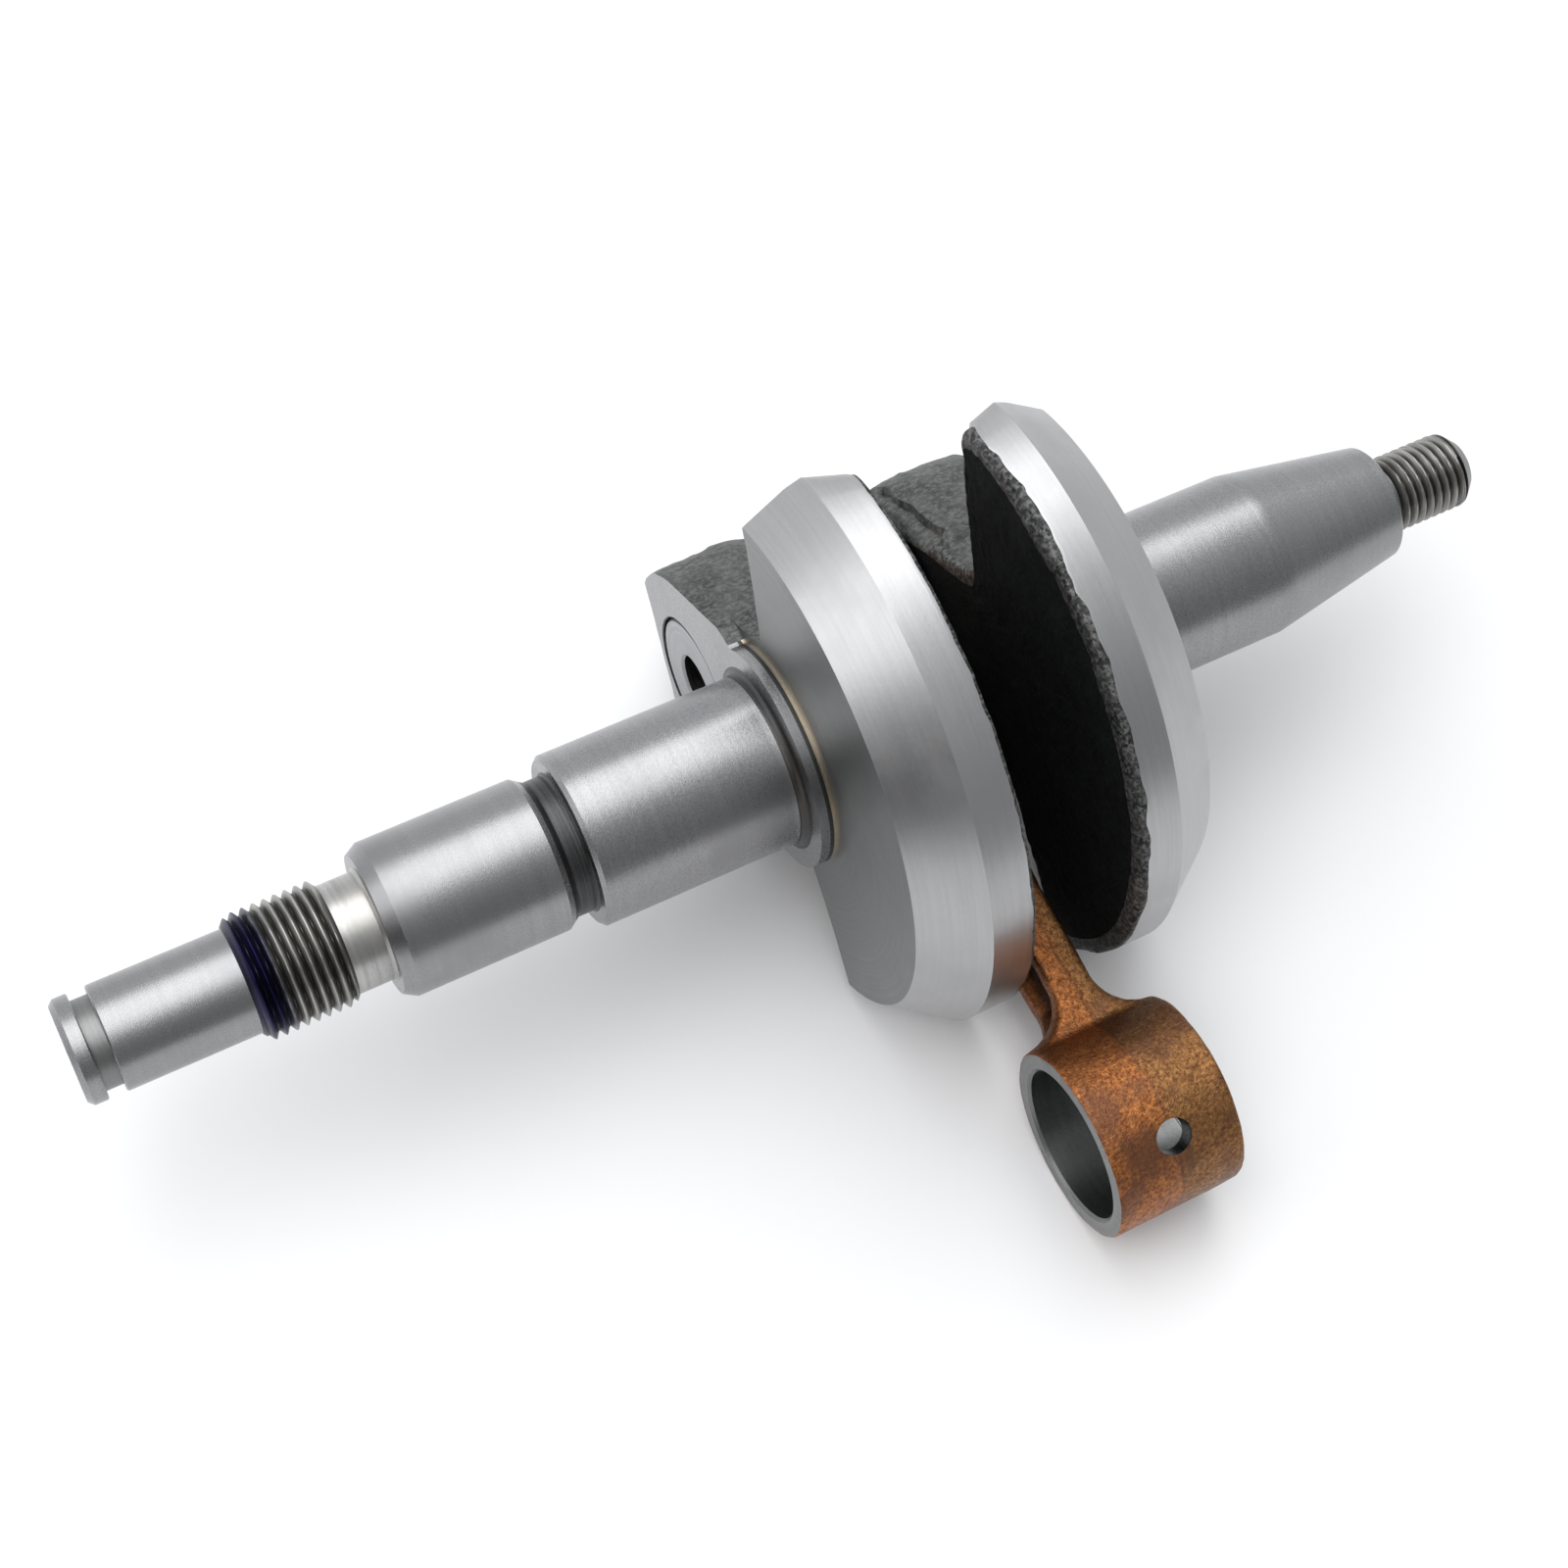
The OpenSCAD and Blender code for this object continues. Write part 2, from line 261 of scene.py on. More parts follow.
def between(tree, value, low, high, toLow=0.0, toHigh=1.0):
    return addNode(tree, "ShaderNodeMapRange", set_interpolation_type="SMOOTHSTEP", Value=value,
                   From_Min=low, From_Max=high, To_Min=toLow, To_Max=toHigh).outputs[0]


def noise(tree, vector, scale, detail=2.0, rough=0.5):
    return addNode(tree, "ShaderNodeTexNoise", Vector=vector, Scale=scale, Detail=detail,
                   Roughness=rough).outputs[0]


def blendColours(tree, factor, a, b):
    # a colour is a socket or three numbers
    a, b = ((*colour, 1) if isinstance(colour, tuple) else colour for colour in (a, b))
    return addNode(tree, "ShaderNodeMix", set_data_type="RGBA", in0=factor, in6=a, in7=b).outputs[2]


def newGroup(name, inputs):
    group = bpy.data.node_groups.new(name, "ShaderNodeTree")
    for label, value in inputs.items():
        kind = "NodeSocketVector" if isinstance(value, tuple) else "NodeSocketFloat"
        group.interface.new_socket(label, in_out="INPUT", socket_type=kind).default_value = value
    return group, group.nodes.new("NodeGroupInput").outputs


def giveOut(group, **values):
    # the group's outputs, each a number that changes over the surface
    for label in values:
        group.interface.new_socket(label, in_out="OUTPUT", socket_type="NodeSocketFloat")
    result = group.nodes.new("NodeGroupOutput")
    for label, value in values.items():
        group.links.new(value, result.inputs[label])
    return group


def makeCutMarks():
    # marks of the lathe and the grinding wheel: rings about an axis along X, and short
    # scratches that run round it. Coordinates are millimetres from the given centre
    group, given = newGroup("cutMarks", dict(Centre=(0.0, 0.0, 0.0), Rings=6.0, Scratches=1.0))
    place = vectorMaths(group, "SUBTRACT", objectPlace(group), in1=given["Centre"]).outputs[0]
    place = vectorMaths(group, "SCALE", place, Scale=1000.0).outputs[0]
    x, y, z = addNode(group, "ShaderNodeSeparateXYZ", in0=place).outputs
    radius = maths(group, "SQRT", maths(group, "MULTIPLY_ADD", y, y, maths(group, "MULTIPLY", z, z)))
    angle = maths(group, "ARCTAN2", y, z)
    around = maths(group, "MULTIPLY", angle, radius)
    drift = maths(group, "MULTIPLY", maths(group, "ADD", y, z), 0.05)
    ringPlace = addNode(group, "ShaderNodeCombineXYZ", X=maths(group, "MULTIPLY", x, given["Rings"]),
                        Y=maths(group, "MULTIPLY", radius, given["Rings"]), Z=drift).outputs[0]
    rings = noise(group, ringPlace, 1.0, 3.0, 0.6)
    scratchPlace = addNode(group, "ShaderNodeCombineXYZ", X=maths(group, "MULTIPLY", x, 9.0),
                           Y=maths(group, "MULTIPLY", radius, 9.0),
                           Z=maths(group, "MULTIPLY", around, 3.0)).outputs[0]
    scratches = noise(group, scratchPlace, given["Scratches"], 2.0, 0.7)
    wear = noise(group, place, 0.09, 4.0, 0.6)
    height = maths(group, "MULTIPLY_ADD", scratches, 0.8, maths(group, "MULTIPLY", rings, 0.5))
    return giveOut(group, Height=height, Rings=rings, Scratches=scratches, Wear=wear)


def makeForgeSkin():
    # skin of a forging: broad lumps, fine scale pits and loose brown and pale specks
    group, given = newGroup("forgeSkin", dict(Grain=1.0, Specks=1.0))
    place = vectorMaths(group, "SCALE", objectPlace(group), Scale=1000.0).outputs[0]
    fine = maths(group, "MULTIPLY", given["Grain"], 3.2)
    grain = noise(group, place, fine, 5.0, 0.65)
    patches = noise(group, place, 0.35, 4.0, 0.6)
    cells = addNode(group, "ShaderNodeTexVoronoi", Vector=place, Scale=fine).outputs["Distance"]
    pits = between(group, cells, 0.05, 0.35)
    speckNoise = noise(group, place, maths(group, "MULTIPLY", given["Specks"], 2.3), 6.0, 0.75)
    specks = between(group, speckNoise, 0.55, 0.68)
    height = maths(group, "MULTIPLY_ADD", grain, 0.8, maths(group, "MULTIPLY", pits, 0.3))
    return giveOut(group, Height=height, Patches=patches, Specks=specks)


cutMarks, forgeSkin = makeCutMarks(), makeForgeSkin()


def newFinish(name):
    finish = bpy.data.materials.new(name)
    finish.use_nodes = True
    tree = finish.node_tree
    return finish, tree, tree.nodes["Principled BSDF"]


def placeGroup(tree, group, **values):
    made = tree.nodes.new("ShaderNodeGroup")
    made.node_tree = group
    for key, value in values.items():
        made.inputs[key].default_value = value
    return made


def dress(tree, shader, colour, rough, metallic, height, strength, distance):
    relief = addNode(tree, "ShaderNodeBump", Height=height, Strength=strength, Distance=distance)
    values = {"Base Color": colour, "Roughness": rough, "Metallic": metallic, "Normal": relief.outputs[0]}
    for label, value in values.items():
        feed(tree, shader.inputs[label], value)


def machinedFinish(name, look):
    # bare cut steel: marks of the tool in tone, gloss and relief, with faint dull patches
    finish, tree, shader = newFinish(name)
    marks = placeGroup(tree, cutMarks, Centre=look.get("centre", (0.0, 0.0, 0.0)), Rings=look["rings"],
                       Scratches=look["scratches"])
    tone = maths(tree, "MULTIPLY_ADD", marks.outputs["Rings"], look["ringTone"],
                 maths(tree, "MULTIPLY", marks.outputs["Scratches"], look["scratchTone"]))
    most = look["ringTone"] + look["scratchTone"]
    colour = blendColours(tree, between(tree, tone, 0.2 * most, 0.8 * most), look["dark"], look["light"])
    dull = between(tree, marks.outputs["Wear"], 0.45, 0.75)
    colour = blendColours(tree, dull, colour, look["worn"])
    rough = maths(tree, "MULTIPLY_ADD", marks.outputs["Scratches"], look["roughSpread"],
                  look["rough"] - look["roughSpread"] / 2)
    rough = maths(tree, "MULTIPLY_ADD", dull, 0.06, rough)
    dress(tree, shader, colour, rough, 1.0, marks.outputs["Height"], look["relief"], 0.00006)
    return finish


pinCentre = (0.0, pinAcross / 1000, pinUp / 1000)
eyeCentre = (0.0, smallEndAcross / 1000, smallEndUp / 1000)
machinedLooks = dict(
    groundSteel=dict(
        rings=2.2, scratches=1.6, ringTone=0.3, scratchTone=1.0, dark=(0.21, 0.21, 0.215),
        light=(0.35, 0.35, 0.355), worn=(0.25, 0.25, 0.255), rough=0.27, roughSpread=0.12, relief=0.24),
    turnedSteel=dict(
        rings=3.2, scratches=0.8, ringTone=0.8, scratchTone=0.5, dark=(0.37, 0.37, 0.375),
        light=(0.44, 0.44, 0.445), worn=(0.38, 0.38, 0.385), rough=0.33, roughSpread=0.08, relief=0.14),
    # faced steel, its colour darkened as painted shade for the shadowed floor that the faces reflect
    shadedTurnedFace=dict(
        rings=2.6, scratches=1.0, ringTone=0.6, scratchTone=0.6, dark=(0.175, 0.18, 0.178),
        light=(0.24, 0.245, 0.243), worn=(0.19, 0.194, 0.192), rough=0.38, roughSpread=0.10, relief=0.12),
    turnedNeck=dict(
        rings=2.0, scratches=0.8, ringTone=1.0, scratchTone=0.3, dark=(0.26, 0.26, 0.26),
        light=(0.50, 0.495, 0.485), worn=(0.40, 0.39, 0.37), rough=0.28, roughSpread=0.08, relief=0.2),
    # dark steel for grooves, fillets, bevels, bores and the step's wall: painted shade in these hollows, over
    # a little oil
    oilyGrooveShade=dict(
        rings=4.0, scratches=0.8, ringTone=1.0, scratchTone=0.3, dark=(0.025, 0.026, 0.028),
        light=(0.105, 0.105, 0.105), worn=(0.07, 0.062, 0.052), rough=0.38, roughSpread=0.10, relief=0.3),
    # warm beige for the fillet at the foot of the boss: a painted warm reflection over a little oil tint
    stepOilAndReflection=dict(
        rings=4.0, scratches=0.8, ringTone=1.0, scratchTone=0.3, dark=(0.34, 0.27, 0.19),
        light=(0.74, 0.66, 0.54), worn=(0.50, 0.40, 0.28), rough=0.3, roughSpread=0.10, relief=0.2),
    pinSteel=dict(
        rings=3.0, scratches=0.9, ringTone=0.8, scratchTone=0.6, dark=(0.25, 0.25, 0.26),
        light=(0.45, 0.45, 0.46), worn=(0.30, 0.30, 0.31), rough=0.40, roughSpread=0.12, relief=0.25,
        centre=pinCentre),
    eyeSteel=dict(
        rings=2.2, scratches=1.4, ringTone=0.5, scratchTone=0.8, dark=(0.135, 0.138, 0.137),
        light=(0.25, 0.253, 0.252), worn=(0.17, 0.172, 0.17), rough=0.33, roughSpread=0.14, relief=0.3,
        centre=eyeCentre),
    cageSteel=dict(
        rings=2.5, scratches=1.2, ringTone=0.6, scratchTone=0.8, dark=(0.20, 0.20, 0.21),
        light=(0.40, 0.40, 0.41), worn=(0.27, 0.25, 0.22), rough=0.45, roughSpread=0.14, relief=0.3,
        centre=pinCentre),
    rollerSteel=dict(
        rings=2.0, scratches=1.4, ringTone=0.4, scratchTone=0.7, dark=(0.50, 0.50, 0.51),
        light=(0.74, 0.74, 0.75), worn=(0.60, 0.60, 0.61), rough=0.2, roughSpread=0.10, relief=0.15,
        centre=pinCentre))
(groundSteel, turnedSteel, shadedTurnedFace, turnedNeck, oilyGrooveShade, stepOilAndReflection, pinSteel, eyeSteel, cageSteel,
 rollerSteel) = (machinedFinish(name, look) for name, look in machinedLooks.items())


def makeThreadSteel(name, marksStart, marksEnd, ink):
    # cut thread: bright crests, roots darkened as painted shade, and marking ink on the crests between two
    # stations
    finish, tree, shader = newFinish(name)
    marks = placeGroup(tree, cutMarks, Rings=9.0, Scratches=0.8)
    level = between(tree, marks.outputs["Rings"], 0.3, 0.7)
    colour = blendColours(tree, level, (0.20, 0.20, 0.195), (0.44, 0.43, 0.41))
    crest = attribute(tree, "crest")
    # painted shade: the colour darkens towards the thread's roots
    colour = blendColours(tree, between(tree, crest, 0.0, 0.8), (0.075, 0.070, 0.062), colour)
    if ink:
        place = objectPlace(tree)
        station = addNode(tree, "ShaderNodeSeparateXYZ", in0=place).outputs[0]
        ragged = maths(tree, "MULTIPLY_ADD", noise(tree, place, 420.0, 3.0), 0.0016, station)
        inked = between(tree, ragged, marksEnd, marksStart, 0.0, 1.0)
        inked = maths(tree, "MULTIPLY", inked, between(tree, crest, 0.1, 0.8, 0.75, 1.0))
        colour = blendColours(tree, inked, colour, (0.012, 0.010, 0.045))
    rough = maths(tree, "MULTIPLY_ADD", level, 0.12, 0.30)
    dress(tree, shader, colour, rough, 1.0, marks.outputs["Height"], 0.3, 0.00006)
    return finish


def makeForgedSteel(name, look):
    # black forging scale: dark ground with lighter rubbed grains and brown specks
    finish, tree, shader = newFinish(name)
    scale = placeGroup(tree, forgeSkin, Grain=look["grain"], Specks=look["specks"])
    patches = scale.outputs["Patches"]
    colour = blendColours(tree, between(tree, patches, 0.3, 0.7), look["dark"], look["light"])
    specks = maths(tree, "MULTIPLY", scale.outputs["Specks"], look["speckAmount"])
    colour = blendColours(tree, specks, colour, look["speck"])
    rubbed = between(tree, scale.outputs["Height"], 0.62, 0.82, 0.0, look["rubbed"])
    colour = blendColours(tree, rubbed, colour, look["bare"])
    rough = maths(tree, "MULTIPLY_ADD", patches, 0.2, look["rough"])
    shader.inputs["Specular IOR Level"].default_value = look["gloss"]
    dress(tree, shader, colour, rough, look["metallic"], scale.outputs["Height"], look["relief"], 0.0003)
    return finish


forgedLooks = dict(
    # black forging scale on the inner faces, darkened further as painted shade between the webs
    shadedForgedInner=dict(
        grain=0.8, specks=0.9, dark=(0.0015, 0.0022, 0.0022), light=(0.004, 0.0055, 0.0055),
        speck=(0.02, 0.021, 0.021), speckAmount=0.3, bare=(0.02, 0.021, 0.022), rubbed=0.3, rough=0.7,
        metallic=0.0, relief=0.6, gloss=0.10),
    forgedNose=dict(
        grain=0.55, specks=0.5, dark=(0.030, 0.032, 0.031), light=(0.085, 0.090, 0.086),
        speck=(0.12, 0.10, 0.075), speckAmount=0.3, bare=(0.20, 0.205, 0.20), rubbed=0.5, rough=0.40,
        metallic=0.7, relief=0.32, gloss=0.5),
    forgedLip=dict(
        grain=0.6, specks=0.6, dark=(0.008, 0.009, 0.009), light=(0.042, 0.043, 0.042),
        speck=(0.07, 0.065, 0.055), speckAmount=0.4, bare=(0.22, 0.22, 0.215), rubbed=0.6, rough=0.42,
        metallic=0.6, relief=0.45, gloss=0.4))
shadedForgedInner, forgedNose, forgedLip = (makeForgedSteel(name, look) for name, look in forgedLooks.items())


def makeCopperPlate():
    # copper plate over a tumbled forging: orange and brown mottling, olive flecks, worn bare grains
    finish, tree, shader = newFinish("copperPlate")
    scale = placeGroup(tree, forgeSkin, Grain=1.2, Specks=1.1)
    place = objectPlace(tree)
    mottle = noise(tree, place, 2600.0, 4.0, 0.7)
    broad = noise(tree, place, 190.0, 4.0, 0.65)
    station = addNode(tree, "ShaderNodeSeparateXYZ", in0=place).outputs[0]
    offPlane = maths(tree, "MULTIPLY", maths(tree, "SUBTRACT", station, rodPlane / 1000), 1000.0)
    wander = maths(tree, "SUBTRACT", offPlane, 0.4)
    offPlane = maths(tree, "MULTIPLY_ADD", noise(tree, place, 300.0, 2.0), 0.8, wander)
    half = between(tree, offPlane, -0.6, 0.9)  # the two sides of the parting line differ a little
    bright = blendColours(tree, half, (0.47, 0.185, 0.062), (0.34, 0.165, 0.062))
    deep = blendColours(tree, half, (0.17, 0.055, 0.022), (0.13, 0.058, 0.026))
    colour = blendColours(tree, between(tree, mottle, 0.32, 0.68), deep, bright)
    colour = blendColours(tree, between(tree, broad, 0.44, 0.64, 0.0, 0.75), colour, (0.135, 0.062, 0.038))
    seam = between(tree, maths(tree, "ABSOLUTE", offPlane), 0.0, 0.28, 0.55, 0.0)
    colour = blendColours(tree, seam, colour, (0.10, 0.050, 0.032))
    specks = maths(tree, "MULTIPLY", scale.outputs["Specks"], 0.55)
    colour = blendColours(tree, specks, colour, (0.13, 0.105, 0.045))
    # painted shade: the copper darkens to near black deeper in the rod's channel
    grime = maths(tree, "MULTIPLY", attribute(tree, "grime"), 0.85)
    colour = blendColours(tree, grime, colour, (0.018, 0.013, 0.011))
    rough = between(tree, mottle, 0.3, 0.7, 0.5, 0.34)
    dress(tree, shader, colour, rough, 1.0, scale.outputs["Height"], 0.6, 0.0002)
    return finish


copperPlate = makeCopperPlate()
print("finishes made")

# the two shafts

driveSizes = dict(
    boss=17.3, fillet=0.8, journalEnd=37.8, edge=0.4, grooveEnd=39.8, grooveRadius=6.7, cone=1.05,
    secondEnd=56.9, shoulderBevelLength=1.2, shoulderBevel=0.7, reliefRadius=5.25, threadStart=60.5,
    threadEnd=69.5, threadRadius=6.0, threadDepth=0.61, pitch=1.0, hand=1, inkStart=2.9, inkEnd=4.3,
    pilotEnd=81.9, pilotBevel=0.15, clipRadius=4.25, collarStart=83.5, collarBevel=0.12, end=85.3,
    endBevel=0.5, centreHole=1.3, drillRadius=0.35, drillDepth=1.9, columns=160)


def threadRelief(sizes, limitLow, limitHigh):
    # radius of a right-hand thread: the root plus a rounded ridge that climbs one pitch a turn,
    # held under a 45 degree lead at both ends
    def radius(station, radius, angle):
        inside = (station > sizes["threadStart"]) & (station < sizes["threadEnd"])
        turn = np.mod(sizes["hand"] * angle / (2 * np.pi) + station / sizes["pitch"], 1.0)
        ridge = np.clip(1.12 * (1 - np.abs(2 * turn - 1)) - 0.04, 0, 1)
        ridge = ridge * ridge * (3 - 2 * ridge) * 0.35 + ridge * 0.65
        cut = sizes["threadRadius"] - sizes["threadDepth"] * (1 - ridge)
        cut = np.minimum(cut, limitLow + 1.2 * (station - sizes["threadStart"]))
        cut = np.minimum(cut, limitHigh + 1.2 * (sizes["threadEnd"] - station))
        return np.where(inside, cut, radius)
    return radius


def foot(sizes):
    # sunk into the boss, then a quarter circle up to the journal
    centre = (sizes["boss"] + sizes["fillet"], journalRadius + sizes["fillet"])
    sunk = sizes["boss"] - 0.5
    return [(sunk, 0.0), (sunk, centre[1])] + roundWithin(sizes["fillet"], 180, 270, centre, 8)


def centreHole(sizes):
    # a cone, then a short drilled hole
    end, small, deep = sizes["end"], sizes["drillRadius"], sizes["end"] - sizes["drillDepth"]
    return [(end, sizes["centreHole"]), (end - 1.1 * sizes["centreHole"], small), (deep, small), (deep, 0.05)]


def shaftMesh(name, outline, marks, sizes, bulge, side, finishes):
    # the outline goes round the shaft, and each stretch between two stations has its own finish
    rings = turned(outline, sizes["columns"], bulge)
    middle = (outline[1:, 0] + outline[:-1, 0]) / 2
    bands = np.zeros(len(middle), int)
    for low, high, band in marks:
        bands[(middle > low) & (middle < high)] = band
    mesh = skin(name, toCrank(rings, side), bands[:, None], sharp=20)
    place = pointsOf(mesh)
    radius = np.hypot(place[:, 1], place[:, 2])
    crest = (radius - sizes["threadRadius"] + sizes["threadDepth"]) / sizes["threadDepth"]
    keepMask(mesh, "crest", np.clip(crest, 0, 1))
    return asObject(name, mesh, finishes)


d = driveSizes
driveOutline = np.concatenate([stepped(foot(d), 1.0), stepped([
    (d["boss"] + d["fillet"], journalRadius), (d["journalEnd"] - d["edge"], journalRadius),
    (d["journalEnd"], journalRadius - d["edge"]), (d["journalEnd"], d["grooveRadius"] + 0.25),
    (d["journalEnd"] + 0.25, d["grooveRadius"]), (d["grooveEnd"] - 0.1, d["grooveRadius"]),
    (d["grooveEnd"] + d["cone"], secondRadius), (d["secondEnd"] - d["shoulderBevelLength"], secondRadius),
    (d["secondEnd"], secondRadius - d["shoulderBevel"]), (d["secondEnd"], d["reliefRadius"] + 0.3),
    (d["secondEnd"] + 0.3, d["reliefRadius"]), (d["threadStart"], d["reliefRadius"])], 0.8)[1:], stepped([
    (d["threadStart"], d["threadRadius"]), (d["threadEnd"], d["threadRadius"])], 1 / 16)[1:-1], stepped([
    (d["threadEnd"], pilotRadius), (d["pilotEnd"] - d["pilotBevel"], pilotRadius),
    (d["pilotEnd"], pilotRadius - d["pilotBevel"]), (d["pilotEnd"], d["clipRadius"]),
    (d["collarStart"], d["clipRadius"]), (d["collarStart"], pilotRadius - d["collarBevel"]),
    (d["collarStart"] + d["collarBevel"], pilotRadius), (d["end"] - d["endBevel"], pilotRadius),
    (d["end"], pilotRadius - d["endBevel"]), *centreHole(d)], 0.8)])
inkStart, inkEnd = ((rodPlane - d["threadEnd"] + d[edge]) / 1000 for edge in ("inkStart", "inkEnd"))
driveThread = makeThreadSteel("driveThread", inkStart, inkEnd, True)
# painted shade: the fillet at the boss and the groove between the journals take the dark groove finish
driveShaft = shaftMesh("driveShaft", driveOutline, [
    (d["boss"] - 1, d["boss"] + d["fillet"], 2), (d["journalEnd"] + 0.01, d["grooveEnd"] + 0.3, 2),
    (d["secondEnd"] + 0.1, d["threadStart"], 4), (d["threadStart"], d["threadEnd"], 1),
    (d["pilotEnd"] + 0.01, d["collarStart"], 3), (d["end"] - 0.01, d["end"] + 1, 3)],
    d, threadRelief(d, d["reliefRadius"] + 0.1, pilotRadius + 0.1), -1,
    [groundSteel, driveThread, oilyGrooveShade, shadedTurnedFace, turnedNeck])

flywheelSizes = dict(
    boss=17.3, fillet=0.8, journalEnd=36.8, taperEnd=52.1, taper=3.0, neckRadius=3.3, threadStart=53.7,
    threadEnd=61.7, threadRadius=4.0, threadDepth=0.61, pitch=1.0, hand=-1, end=62.9, tip=1.2,
    centreHole=1.1, drillRadius=0.3, drillDepth=1.7, columns=144)
f = flywheelSizes
taperRadius = journalRadius - (f["taperEnd"] - f["journalEnd"]) / f["taper"] / 2
flywheelOutline = np.concatenate([stepped(foot(f), 1.0), stepped([
    (f["boss"] + f["fillet"], journalRadius), (f["journalEnd"], journalRadius),
    (f["taperEnd"] - 0.2, taperRadius + 0.03), (f["taperEnd"], taperRadius - 0.17),
    (f["taperEnd"], f["neckRadius"] + 0.3), (f["taperEnd"] + 0.3, f["neckRadius"]),
    (f["threadStart"], f["neckRadius"])], 0.8)[1:], stepped([
    (f["threadStart"], f["threadRadius"]), (f["threadEnd"], f["threadRadius"])], 1 / 16)[1:-1], stepped([
    (f["threadEnd"], f["threadRadius"] - 0.1), (f["end"], f["threadRadius"] - f["tip"]),
    *centreHole(f)], 0.6)])
flywheelThread = makeThreadSteel("flywheelThread", 0, 0, False)
# painted shade: the fillet at the boss takes the dark groove finish
flywheelShaft = shaftMesh("flywheelShaft", flywheelOutline, [
    (f["boss"] - 1, f["boss"] + f["fillet"], 2), (f["taperEnd"] - 0.01, f["threadStart"], 3),
    (f["threadStart"], f["threadEnd"], 1), (f["threadEnd"], f["end"] + 1, 3)],
    f, threadRelief(f, f["neckRadius"] + 0.1, f["threadRadius"] - 0.15), 1,
    [groundSteel, flywheelThread, oilyGrooveShade, shadedTurnedFace])
print("shafts turned")

# the two webs

webSizes = dict(
    inner=5.3, rim=9.9, face=15.6, boss=17.3, radius=30.2, faceRadius=26.1, bossRadius=11.2,
    noseRadius=12.2, noseWall=1.2, slope=10.0, draft=12.0, shoulderFoot=5.6, edge=1.1, edgeRagged=0.35,
    smoothLip=0.4, padRadius=10.6, hubAngle=16.0, parting=0.16, forgeDraft=0.3, mouth=0.12, ringFrom=0.4,
    crown=0.38, crownDrop=1.1, waistAcross=9.5, waistUp=10.0, waistDrop=3.0, flankAcross=8.8,
    flankUp=8.7)
w = webSizes
throw = math.hypot(pinAcross, pinUp)
noseTop = throw + pinRadius + w["noseWall"]
webMiddle = (w["inner"] + w["face"]) / 2
segmentCounts = dict(flat=12, arc=32, flank=18, foot=12, shoulder=38, rim=108)


def webColumns():
    # one half of the outline, from the top of the nose round to the bottom of the counterweight,
    # then the same columns back up the other side
    kinds, parts = [], []
    for kind, (name, count) in enumerate(segmentCounts.items()):
        last = name == "rim"
        part = np.linspace(0, 1, count, endpoint=last)
        kinds.append(np.full(len(part), kind))
        parts.append(part)
    kinds, parts = np.concatenate(kinds), np.concatenate(parts)
    order = np.concatenate([np.arange(len(kinds)), np.arange(len(kinds) - 2, 0, -1)])
    sign = np.where(np.arange(len(order)) < len(kinds), 1.0, -1.0)
    return kinds[order], parts[order], sign


kind, part, sign = webColumns()
forgedColumn = kind < 5
noseColumn = kind < 3
ringColumn = (kind > 3) | ((kind == 3) & (part > webSizes["ringFrom"]))


def easedRound(outline, where, times):
    # each point inside the stretch moves half way to the middle of its neighbours, many times over
    for _ in range(times):
        eased = (np.roll(outline, 1, 1) + 2 * outline + np.roll(outline, -1, 1)) / 4
        outline = np.where(where, eased, outline)
    return outline


